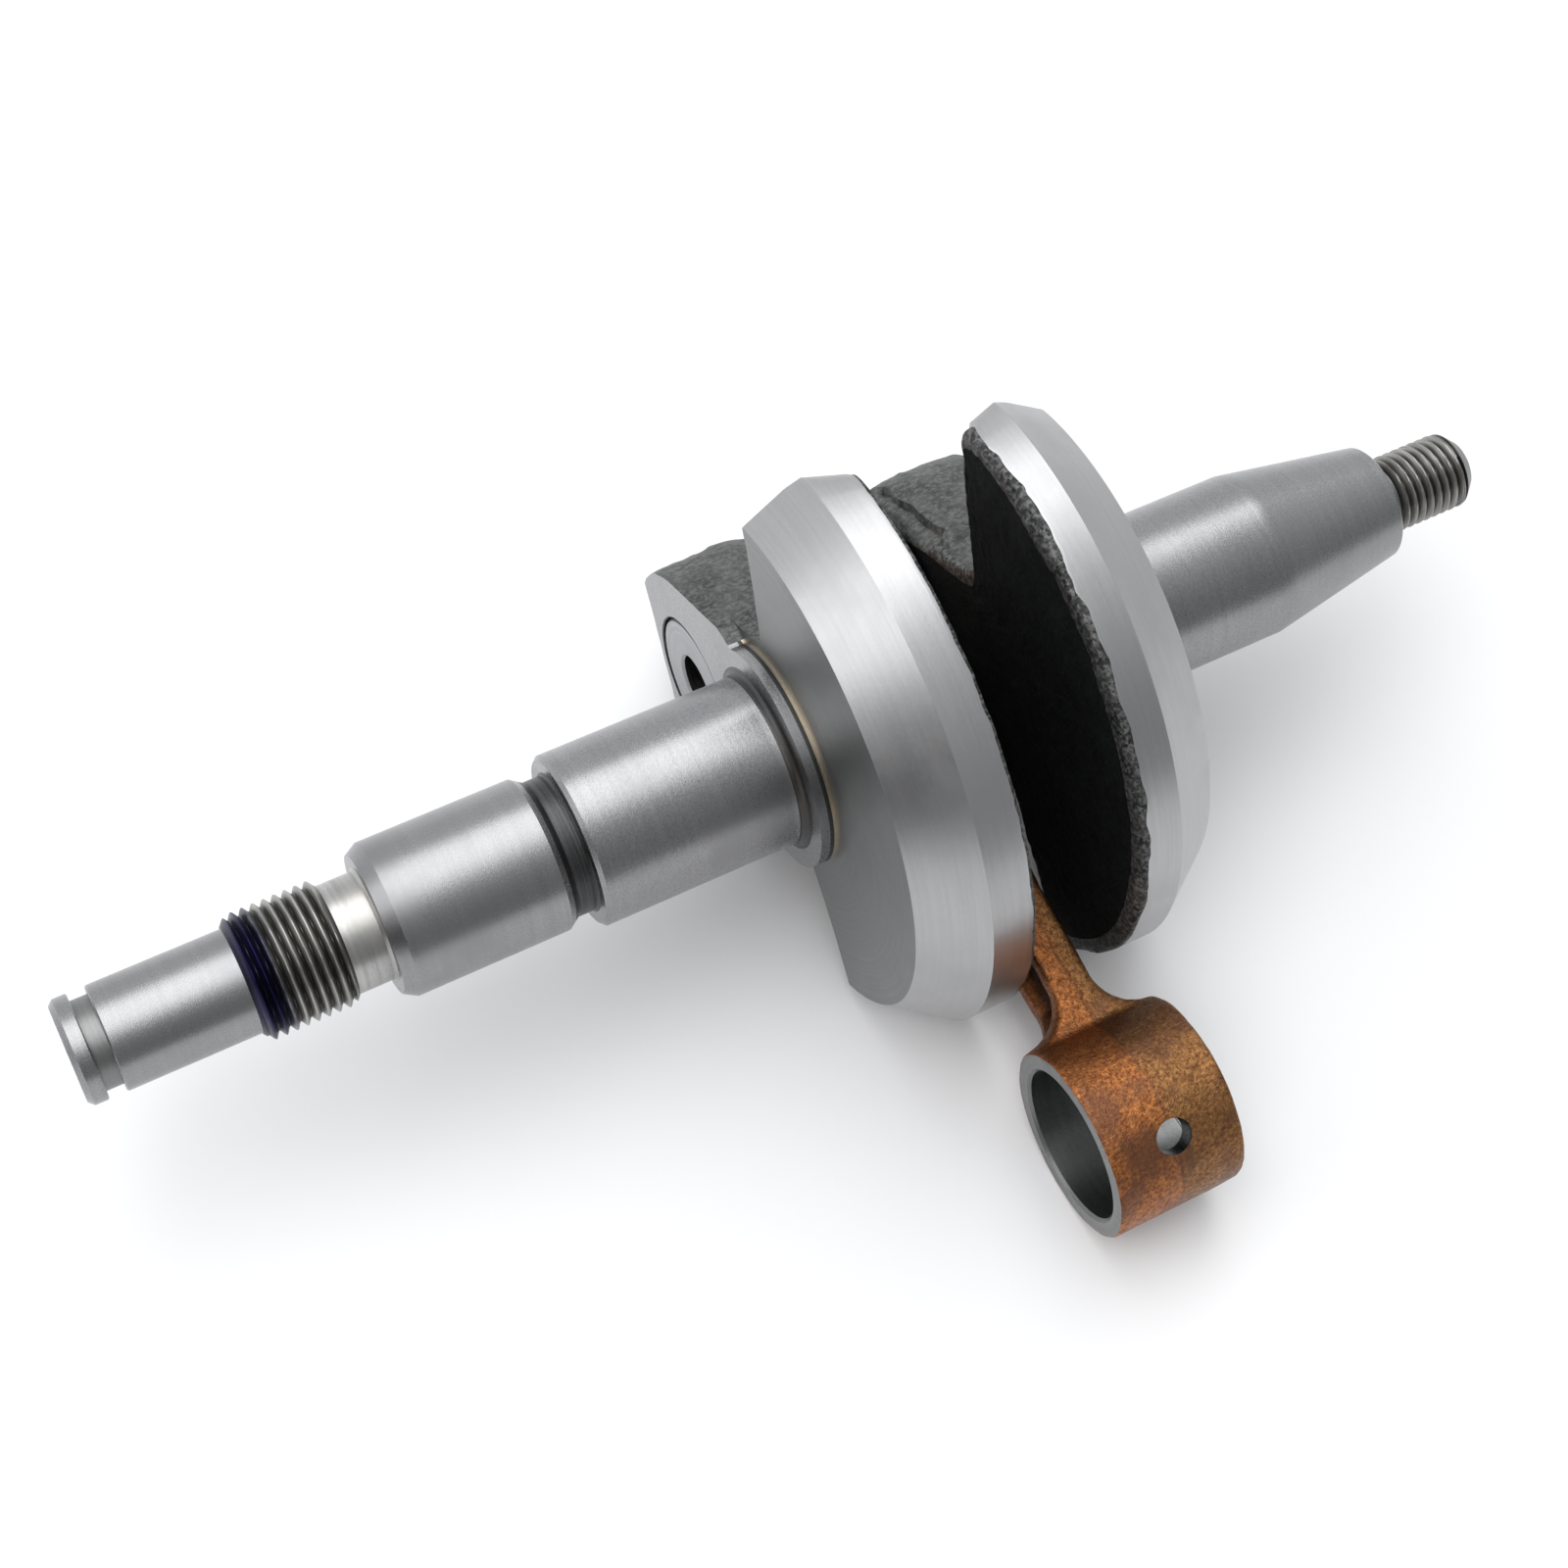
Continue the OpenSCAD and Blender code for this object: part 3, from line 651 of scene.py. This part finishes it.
def webOutline(station, radius, raised=False):
    # outline of the web at a station: flat top of the nose, its round corners, its flanks, the sloping
    # shoulders and the turned arc; above the outer face the shoulders and arc give way to the boss
    fall = math.tan(math.radians(w["slope"])) / math.cos(math.radians(w["draft"]))
    height = (station - webMiddle) * math.tan(math.radians(w["draft"]))
    cornerAcross = (height * fall + np.sqrt(radius ** 2 * (1 + fall ** 2) - height ** 2)) / (1 + fall ** 2)
    cornerUp = height - cornerAcross * fall
    flatHalf = math.sqrt(w["noseRadius"] ** 2 - (noseTop - throw) ** 2)
    arcAngle = math.atan2(noseTop - throw, flatHalf) * (1 - part)
    nr, foot, zero = w["noseRadius"], w["shoulderFoot"], 0 * station
    if raised:
        hub = math.radians(w["hubAngle"])
        lineEnd, rimStart = math.radians(-6), math.radians(-14)  # where the shoulder and the arc take over
        footAcross, footUp = w["bossRadius"] * math.cos(hub), w["bossRadius"] * math.sin(hub)
        down = np.clip(part / w["ringFrom"], 0, 1)
        ringAngle = hub + (lineEnd - hub) * np.clip((part - w["ringFrom"]) / (1 - w["ringFrom"]), 0, 1)
        onRing = part > w["ringFrom"]
        across = [np.where(onRing, w["bossRadius"] * np.cos(ringAngle), nr + (footAcross - nr) * down),
                  w["bossRadius"] * np.cos(lineEnd + (rimStart - lineEnd) * part),
                  w["bossRadius"] * np.cos(rimStart + (-math.pi / 2 - rimStart) * part)]
        up = [np.where(onRing, w["bossRadius"] * np.sin(ringAngle), foot + (footUp - foot) * down ** 0.8),
              w["bossRadius"] * np.sin(lineEnd + (rimStart - lineEnd) * part),
              w["bossRadius"] * np.sin(rimStart + (-math.pi / 2 - rimStart) * part)]
    else:
        rimStart = np.arctan2(cornerUp, cornerAcross)
        angle = rimStart + (-math.pi / 2 - rimStart) * part
        shoulder = nr + (cornerAcross - nr) * part
        across = [nr + zero, shoulder, radius * np.cos(angle)]
        up = [foot + (height - nr * fall - foot) * part, height - shoulder * fall, radius * np.sin(angle)]
    across = [flatHalf * part, nr * np.cos(arcAngle), nr + zero] + across
    up = [noseTop + zero, throw + nr * np.sin(arcAngle), throw + (foot - throw) * part] + up
    stretches = [kind == k for k in range(len(segmentCounts))]
    x, y = (np.select(stretches, [np.broadcast_to(v, station.shape) for v in values])
            for values in (across, up))
    outline = np.stack([x, y], axis=-1)
    outline[..., 0] *= sign
    if not raised:  # forging fillet where the nose meets the shoulders
        corner = ((kind == 3) | ((kind == 4) & (part < 0.4)))[None, :, None]
        outline = easedRound(outline, corner, 16)
        tip = (((kind == 4) & (part > 0.72)) | ((kind == 5) & (part < 0.09)))[None, :, None]
        depth = np.clip((w["rim"] + 1.5 - station) / (w["rim"] + 1.5 - w["inner"]), 0, 1)[..., None]
        outline = outline + (easedRound(outline, tip, 42) - outline) * (0.08 + 0.92 * depth)
    return outline


def lifted(outline, station):
    # the points of plane outlines, each given its station
    station = np.broadcast_to(station, outline.shape[:-1])
    return np.concatenate([outline, station[..., None]], axis=-1)


def roughened(outline, station, side):
    # forged flanks: drawn in with distance from the parting line, a trimmed ridge along it, and lumps,
    # all along the outline's own outward direction; the turned arc stays true
    along = np.roll(outline, -1, 1) - np.roll(outline, 1, 1)
    length = np.maximum(np.linalg.norm(along, axis=-1, keepdims=True), 1e-9)
    outward = np.stack([-along[..., 1], along[..., 0]], axis=-1) / length
    place = lifted(outline, station)
    off = station - webMiddle
    lump = (0.16 * (lumps(place, 3.1, side + 3) - 1) + 0.07 * lumps(place, 1.1, side + 5)
            + 0.04 * lumps(place, 0.6, side + 7))
    ridge = w["parting"] * np.exp(-(off / 0.4) ** 2) * (0.8 + 0.4 * lumps(place, 2.0, side + 9))
    crown = w["crown"] - np.where(off > 0, w["crown"] * (off / 6.85) ** 2, w["crownDrop"] * (off / 5.15) ** 2)
    flank = np.where(kind < 3, 1.0, np.where(kind == 3, 1 - part, 0.0))
    draft = w["forgeDraft"] * np.clip(w["face"] - station, 0, 4) / 4
    shift = lump + flank * (ridge + crown) + (1 - flank) * (0.3 * ridge - draft)
    weight = np.where(kind < 4, 1.0, np.where(kind == 4, np.clip((0.97 - part) * 12, 0, 1), 0.0))
    return outline + outward * (shift * weight)[..., None]


def webMesh(name, side):
    columns = len(kind)
    full = lambda value: np.full((1, columns), float(value))
    start = full(0)
    pin = np.array([0.0, throw])
    rim = webOutline(full(w["inner"]), full(w["radius"]))
    rim = roughened(rim, full(w["inner"]), side)[0]
    raised = webOutline(full(w["face"]), full(w["faceRadius"]), raised=True)
    # the seat of the pin: every column meets it at the angle at which the seat's axis sees the boss
    seen = np.arctan2(raised[0, :, 1] - throw, raised[0, :, 0])
    toSeat = np.stack([np.cos(seen), np.sin(seen)], axis=-1)
    seat, mouth = pin + pinRadius * toSeat, pin + (pinRadius + w["mouth"]) * toSeat
    # inner face: from the seat to a waist line down the nose and round a U in the counterweight, and from
    # there to the edge, which is rounded and ragged
    turn = np.radians(np.where(kind == 5, -25 - 65 * part, -25 * part))
    waist = np.stack([w["waistAcross"] * np.cos(turn) * sign,
                      w["waistUp"] * np.sin(turn) - w["waistDrop"]], axis=-1)
    flankEnd = np.stack([w["flankAcross"] * sign, np.full(columns, w["flankUp"])], axis=-1)
    footEnd = np.stack([w["waistAcross"] * sign, np.full(columns, -w["waistDrop"])], axis=-1)
    footLine = flankEnd * (1 - part[:, None]) + footEnd * part[:, None]
    waist = np.where(noseColumn[:, None], (seat + rim) / 2, np.where((kind == 3)[:, None], footLine, waist))
    reach = np.linalg.norm(rim - waist, axis=-1)[None, :]
    direction = (rim - waist)[None] / reach[..., None]
    t = np.linspace(0, 1, 16)[:-1, None, None]
    inward = mouth * (1 - t) + waist * t
    edgePlace = lifted(rim, 0.0)
    rough = 1.0 if side > 0 else w["smoothLip"]
    ragged = rough * (w["edge"] + w["edgeRagged"] * lumps(edgePlace, 2.6, side + 11)
                      + 0.16 * lumps(edgePlace, 0.9, side + 13))
    ragged = (np.clip(ragged, 0.2, 2.0) + np.where(noseColumn, 1.0, 0.0))[None, :]
    far = np.linspace(0, 1, 34)[:, None] * (reach - 3.2)
    near = reach - np.array([2.9, 2.5, 2.1, 1.75, 1.4, 1.1, 0.85, 0.6, 0.42, 0.26, 0.14, 0.05, 0.0])[:, None]
    outer = waist + direction * np.concatenate([far, near])[..., None]
    flat = np.concatenate([inward, outer])
    remaining = np.concatenate([np.full((len(inward), columns), 9.0), reach - np.concatenate([far, near])])
    inset = np.minimum(remaining, ragged)
    depth = ragged - np.sqrt(np.maximum(ragged ** 2 - (ragged - inset) ** 2, 0))
    place = lifted(flat, 0.0)
    fromPin = np.hypot(flat[..., 0], flat[..., 1] - throw)
    rough = np.clip((fromPin - w["padRadius"]) / 0.5, 0, 1) * np.clip(remaining / 0.5, 0.3, 1)
    pits = (0.14 * (1 + lumps(place, 4.2, side + 15)) + 0.06 * (1 + lumps(place, 1.3, side + 17))
            + 0.08 * (1 + lumps(place, 0.6, side + 19)))
    inner = lifted(flat, w["inner"] + depth + pits * rough)
    # the last row of the inner face gives the rim its ragged start
    start = inner[-1:, :, 2]
    steps = np.linspace(0, 1, 12)[1:, None]
    rimStations = start + (w["rim"] - start) * steps
    coneStations = np.linspace(w["rim"], w["face"], 19)[1:, None] + 0 * start
    stations = np.concatenate([rimStations, coneStations])
    slopeIn = (w["radius"] - w["faceRadius"]) / (w["face"] - w["rim"])
    radii = w["radius"] - slopeIn * np.maximum(stations - w["rim"], 0)
    wall = lifted(roughened(webOutline(stations, radii), stations, side), stations)
    # outer face, from the edge of the bevel in to the boss, then up its wall and across to the pin's seat
    lowRaised = np.where(noseColumn[None, :, None], wall[-1:, :, :2], raised)
    t = np.linspace(0, 1, 22)[1:, None, None]
    face = lifted(wall[-1:, :, :2] * (1 - t) + lowRaised * t, w["face"])
    bossStations = w["face"] + np.array([0.34, 0.75, 1.0, 1.35, w["boss"] - w["face"]])[:, None] + 0 * start
    shape = np.broadcast_to(raised, (5,) + raised.shape[1:])
    rimmed = roughened(np.array(shape), bossStations, side)
    blendFoot = np.where(kind == 3, np.clip(1 - part / w["ringFrom"], 0, 1), 0.0)
    blendFoot = np.where(noseColumn, 1.0, blendFoot)[None, :, None]
    bossWall = lifted(rimmed * blendFoot + shape * (1 - blendFoot), bossStations)
    t = np.linspace(0, 1, 16)[1:, None, None]
    top = lifted(bossWall[-1:, :, :2] * (1 - t) + mouth * t, w["boss"])
    drop = [w["boss"] - w["mouth"], w["boss"] - 4, w["inner"] + 4, w["inner"] + w["mouth"]]
    bore = lifted(np.broadcast_to(seat, (4, columns, 2)), np.array(drop)[:, None])
    rings = np.concatenate([inner, wall, face, bossWall, top, bore])
    rows = np.cumsum([len(inner), len(wall), len(face), len(bossWall), len(top), len(bore)])
    # finishes by their place in webFinishes: the inner face is forged, its black scale darkened further as
    # painted shade, with a machined pad round the pin and a rubbed lip beside the rim
    # rows left at 5, the mouth and the bore at the pin's seat, get painted shade from the dark groove finish
    bands = np.full((len(rings), columns), 5)
    bands[:rows[0]] = np.where(fromPin < w["padRadius"] + 0.25, 4, 1)
    bands[rows[0] - 10:rows[0]] = np.where(noseColumn, 2, 7)
    bands[rows[0] - 1:rows[1] - 1] = np.where(forgedColumn, 2, 0)
    bands[rows[1] - 1:rows[2] - 1] = 3
    bands[rows[2] - 1:rows[3] - 1] = np.where(ringColumn, 4, 2)
    # painted warm reflection over a little oil tint on the fillet at the foot of the boss
    bands[rows[2] - 1] = np.where(ringColumn, 6, 2)
    # painted shade on the step's wall above the fillet
    bands[rows[2]] = np.where(ringColumn, 5, 2)
    bands[rows[3] - 1:rows[4] - 1] = 4
    return skin(name, toCrank(rings, side), bands, looped=True, sharp=34)


webFinishes = [turnedSteel, shadedForgedInner, forgedNose, shadedTurnedFace, groundSteel, oilyGrooveShade, stepOilAndReflection,
               forgedLip]
driveWeb, flywheelWeb = (asObject(name, webMesh(name, side), webFinishes)
                         for name, side in (("driveWeb", -1), ("flywheelWeb", 1)))
print("webs forged and turned")

# the crank pin

pinSizes = dict(bore=3.3, bevel=0.4, boreBevel=0.25, columns=112)
p = pinSizes
pinHalf = (pinHigh.x - pinLow.x) / 2
pinLoop = stepped([
    (-pinHalf, p["bore"] + p["boreBevel"]), (-pinHalf, pinRadius - p["bevel"]),
    (-pinHalf + p["bevel"], pinRadius), (pinHalf - p["bevel"], pinRadius),
    (pinHalf, pinRadius - p["bevel"]), (pinHalf, p["bore"] + p["boreBevel"]),
    (pinHalf - p["boreBevel"], p["bore"]), (-pinHalf + p["boreBevel"], p["bore"]),
    (-pinHalf, p["bore"] + p["boreBevel"])], 0.6)[:-1]
pinRings = turned(pinLoop, p["columns"])
pinStation = (np.roll(pinLoop, -1, 0) + pinLoop) / 2
onEdge = pinStation[:, 1] > pinRadius - p["bevel"] + 0.02
onEdge &= np.abs(pinStation[:, 0]) > pinHalf - p["bevel"]
# painted shade: the pin's bevels and bore take the dark groove finish
edgeBand = np.where(onEdge | (pinStation[:, 1] < p["bore"] + 0.01), 1, 0)
pinMesh = skin("crankPin", toRod(pinRings), edgeBand[:, None], looped=True, sharp=32)
crankPin = asObject("crankPin", pinMesh, [pinSteel, oilyGrooveShade])
print("pin pressed in")

# the connecting rod

rodSizes = dict(
    bigBore=10.18, bigWall=2.6, bigWidth=10.0, smallWall=2.0, smallWidth=smallEnd["dims"]["length_mm"],
    rootWidth=12.8, tipWidth=8.8, thickness=4.4, webThickness=1.8, flange=2.0, sideBlend=3.6,
    topBlend=4.3, bigBlend=2.7, edge=0.6, oilHole=1.7, oilAngle=-57.0, voxel=0.26)
r = rodSizes
bigRadius, smallRadius = r["bigBore"] + r["bigWall"], smallBoreRadius + r["smallWall"]
rodFinishes = [copperPlate, eyeSteel, oilyGrooveShade]


def eyeBlank(at, radius, width, edge):
    # forged eye before machining: a disc with rounded edges, about the rod's cross axis
    half, inset = width / 2, radius - edge
    line = [(-half, 0.0), (-half, inset)] + roundWithin(edge, 180, 90, (-half + edge, inset), 6)
    line += roundWithin(edge, 90, 0, (half - edge, inset), 6) + [(half, 0.0)]
    return turned(stepped(line, 0.8), 160) + np.array([at, 0.0, 0.0])


def shankBlank():
    # the shank: half width tapers from root to tip and swells into each eye on a circle, the faces
    # rise to the eyes on circles about their axes, and the channel is sunk where the point lies
    # inside a tapered slot with round ends
    along = np.linspace(2.0, rodLength - 2.0, 190)[:, None]
    t = (along - bigRadius) / (rodLength - smallRadius - bigRadius)
    half = (r["rootWidth"] + (r["tipWidth"] - r["rootWidth"]) * np.clip(t, -0.3, 1.3)) / 2
    plain = half.copy()
    eyes = ((0.0, bigRadius, r["sideBlend"] * 0.7), (rodLength, smallRadius, r["sideBlend"]))
    for at, radius, blend in eyes:
        away = np.abs(along - at)
        reachOut = math.sqrt((radius + blend) ** 2 - (plain.mean() + blend) ** 2)
        swell = blend - np.sqrt(np.maximum(blend ** 2 - np.clip(reachOut - away, 0, blend) ** 2, 0))
        circle = np.sqrt(np.maximum((radius - 0.15) ** 2 - away ** 2, 0))
        circle = np.where(away < radius * reachOut / (radius + blend), circle, 99.0)
        half = np.maximum(half, np.minimum(plain + swell, circle))
        half = np.where(away < radius * 0.6, np.minimum(half, radius * 0.75), half)
    corner = np.linspace(-1, 1, 64)
    edge = r["edge"]
    across = half * corner[None, :]
    nearEdge = np.clip(np.abs(across) - (half - edge), 0, edge)
    drop = edge - np.sqrt(np.maximum(edge ** 2 - nearEdge ** 2, 0))
    top = r["thickness"] / 2 + 0 * across
    eyes = ((0.0, bigRadius, r["bigWidth"], r["bigBlend"]),
            (rodLength, smallRadius, r["smallWidth"], r["topBlend"]))
    for at, radius, width, blend in eyes:
        gap = np.hypot(along - at, across) - radius
        lift = blend - np.sqrt(np.maximum(blend ** 2 - np.clip(blend - gap, 0, blend) ** 2, 0))
        top = np.maximum(top, np.minimum(r["thickness"] / 2 + lift, width / 2 - 0.2))
    rootSlot, tipSlot = bigRadius + 3.0, rodLength - smallRadius - 3.0
    rootRound = (r["rootWidth"] / 2 - r["flange"]) - np.hypot(along - rootSlot, across)
    tipRound = (r["tipWidth"] / 2 - r["flange"]) - np.hypot(along - tipSlot, across)
    inside = np.where(along > tipSlot, tipRound, plain - r["flange"] - np.abs(across))
    inside = np.where(along < rootSlot, rootRound, inside)
    sink = np.clip((inside + 0.1) / 1.1, 0, 1)
    sink = sink * sink * (3 - 2 * sink) * (r["thickness"] - r["webThickness"]) / 2
    upper = np.stack([along + 0 * across, across, top - drop - sink], axis=-1)
    lower = upper[:, ::-1] * np.array([1.0, 1.0, -1.0])
    return np.concatenate([upper, lower], axis=1)


def spool(name, at, bore, width, flangeRadius, mouth):
    # cutter for one eye: bore, mouth bevels and both side faces in one turned shape
    half, far = width / 2, width / 2 + 4.0
    line = [(-far, flangeRadius), (-half, flangeRadius), (-half, bore + mouth), (-half + mouth, bore),
            (half - mouth, bore), (half, bore + mouth), (half, flangeRadius), (far, flangeRadius)]
    rings = turned(stepped(line, 30.0), 160) + np.array([at, 0.0, 0.0])
    return asObject(name, skin(name, toRod(rings), np.array([[1]])), rodFinishes)


blanks = [eyeBlank(0.0, bigRadius - 0.09, r["bigWidth"] + 0.9, 0.7),
          eyeBlank(rodLength, smallRadius, r["smallWidth"] + 0.6, 0.6), shankBlank()]
work = bmesh.new()
for blank in blanks:
    blankMesh = skin("blank", toRod(blank), np.array([[0]]))
    work.from_mesh(blankMesh)
    bpy.data.meshes.remove(blankMesh)
rodMesh = bpy.data.meshes.new("conRod")
work.to_mesh(rodMesh)
work.free()
conRod = asObject("conRod", rodMesh, rodFinishes)
merge = conRod.modifiers.new("forge", "REMESH")
merge.mode, merge.voxel_size = "VOXEL", r["voxel"] / 1000
ease = conRod.modifiers.new("ease", "SMOOTH")
ease.factor, ease.iterations = 0.5, 6
rodMesh = settled(conRod, "conRod")
place = pointsOf(rodMesh)
outward = np.zeros(place.size)
rodMesh.vertex_normals.foreach_get("vector", outward)
outward = outward.reshape(-1, 3)
# tumbled skin: broad and fine lumps, always inwards
sunk = 0.07 * (1 + lumps(place, 2.4, 31)) + 0.035 * (1 + lumps(place, 0.9, 33))
rodMesh.vertices.foreach_set("co", ((place - outward * sunk[:, None]) / 1000).reshape(-1))
# painted shade in the channel: a mask that grows with depth below the flanges
outAcross, outUp = place[:, 1] - pinAcross, place[:, 2] - pinUp
fromPin = outAcross * math.cos(rodTurn) + outUp * math.sin(rodTurn)
across = outUp * math.cos(rodTurn) - outAcross * math.sin(rodTurn)
side = np.abs(place[:, 0] - rodPlane)
grime = np.clip((r["thickness"] / 2 - 0.35 - side) / 0.9, 0, 1) * np.clip((4.2 - np.abs(across)) / 0.6, 0, 1)
grime *= (fromPin > bigRadius - 1) & (fromPin < rodLength - smallRadius + 0.5)
keepMask(rodMesh, "grime", grime)
for tool in (spool("bigCut", 0.0, r["bigBore"], r["bigWidth"], 17.0, 0.25),
             spool("smallCut", rodLength, smallBoreRadius, r["smallWidth"], 14.0, 0.3)):
    cutAway(conRod, tool)
oil = math.radians(r["oilAngle"])
oilLine = [(4.0, r["oilHole"]), (smallRadius - 0.35, r["oilHole"]),
           (smallRadius + 2.0, r["oilHole"] + 1.2)]
sideways, swing, reach = np.moveaxis(turned(stepped(oilLine, 20.0), 48), -1, 0)
oilTool = np.stack([rodLength + reach * math.cos(oil) - swing * math.sin(oil),
                    reach * math.sin(oil) + swing * math.cos(oil), sideways], axis=-1)
# painted shade: the walls of the oil hole take the dark groove finish
oilTool = asObject("oilCut", skin("oilCut", toRod(oilTool), np.array([[2]])), rodFinishes)
smooth(cutAway(conRod, oilTool), 38)
print("rod forged, plated and bored,", len(conRod.data.polygons), "faces")

# what stays as designed gets its finish

def refinish(node, finish):
    piece = frame["nodes"][node]
    piece.data.materials.clear()
    piece.data.materials.append(finish)


refinish("big_end_cage", cageSteel)
for name in frame["nodes"]:
    if name.startswith("roller_"):
        refinish(name, rollerSteel)

for piece, node, slot in (
        (driveShaft, "drive_half", "forged_steel"), (driveWeb, "drive_half", "forged_steel"),
        (flywheelShaft, "flywheel_half", "forged_steel"), (flywheelWeb, "flywheel_half", "forged_steel"),
        (crankPin, "crank_pin", "pin_steel")):
    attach(piece, "crankshaft")
    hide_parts(node)
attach(conRod, "con_rod")
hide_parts("con_rod")
print("pieces placed")

# floor, light and camera

floorSizes = dict(width=3.0, colour=(0.80, 0.80, 0.805), shade=(0.775, 0.775, 0.785))
floorMesh = bpy.data.meshes.new("floor")
half, level = floorSizes["width"] / 2, cadLow.z
corners = [(-half, -half, level), (half, -half, level), (half, half, level), (-half, half, level)]
floorMesh.from_pydata(corners, [], [(0, 1, 2, 3)])
floorFinish, tree, shader = newFinish("paleFloor")
place = objectPlace(tree)
cloudy = blendColours(tree, noise(tree, place, 6.0, 3.0), floorSizes["colour"], floorSizes["shade"])
tree.links.new(cloudy, shader.inputs["Base Color"])
gloss = between(tree, noise(tree, place, 900.0, 2.0), 0.3, 0.7, 0.55, 0.65)
tree.links.new(gloss, shader.inputs["Roughness"])
shader.inputs["Specular IOR Level"].default_value = 0.25
floor = asObject("floor", floorMesh, [floorFinish])

lightSizes = dict(
    top=dict(place=(-0.10, 0.08, 1.0), size=(2.3, 0.72), power=12.0),
    side=dict(place=(-0.84, 0.22, 0.60), size=(0.7, 0.7), power=2.4))
for name, light in lightSizes.items():
    lamp = bpy.data.lights.new(name, "AREA")
    lamp.shape, lamp.size, lamp.size_y, lamp.energy = "RECTANGLE", *light["size"], light["power"]
    stand = bpy.data.objects.new(name, lamp)
    stand.location = light["place"]
    stand.rotation_mode = "QUATERNION"
    stand.rotation_quaternion = (-Vector(light["place"])).to_track_quat("-Z", "Y")
    bpy.context.scene.collection.objects.link(stand)

sky = bpy.data.worlds.new("studio")
bpy.context.scene.world = sky
sky.use_nodes = True
tree = sky.node_tree
direction = addNode(tree, "ShaderNodeTexCoord").outputs["Generated"]
x, y, z = addNode(tree, "ShaderNodeSeparateXYZ", in0=direction).outputs
lift = maths(tree, "MULTIPLY_ADD", z, 0.25, maths(tree, "MULTIPLY", y, 0.8))
level = between(tree, lift, -0.75, 0.75, 0.34, 1.0)
# a dark card beside the softbox, seen only as a reflection in the bevel
towards = vectorMaths(tree, "DOT_PRODUCT", direction, in1=(-0.79, -0.50, 0.36)).outputs["Value"]
level = maths(tree, "MULTIPLY", level, between(tree, towards, 0.84, 0.97, 1.0, 0.15))
tree.links.new(level, tree.nodes["Background"].inputs["Strength"])
tree.nodes["Background"].inputs["Color"].default_value = (0.97, 0.985, 1.0, 1)

cameraSizes = dict(
    place=(-0.05918, -0.10767, 0.23717), turn=(30.691, -6.229, -28.763), lens=65.22,
    shift=(-0.1015, -0.0903))
lens = bpy.data.cameras.new("camera")
lens.lens, lens.sensor_width = cameraSizes["lens"], 36.0
lens.shift_x, lens.shift_y = cameraSizes["shift"]
lens.clip_start = 0.01
camera = bpy.data.objects.new("camera", lens)
camera.location = cameraSizes["place"]
camera.rotation_euler = [math.radians(v) for v in cameraSizes["turn"]]
bpy.context.scene.collection.objects.link(camera)
bpy.context.scene.camera = camera
bpy.context.scene.view_settings.view_transform = "Standard"
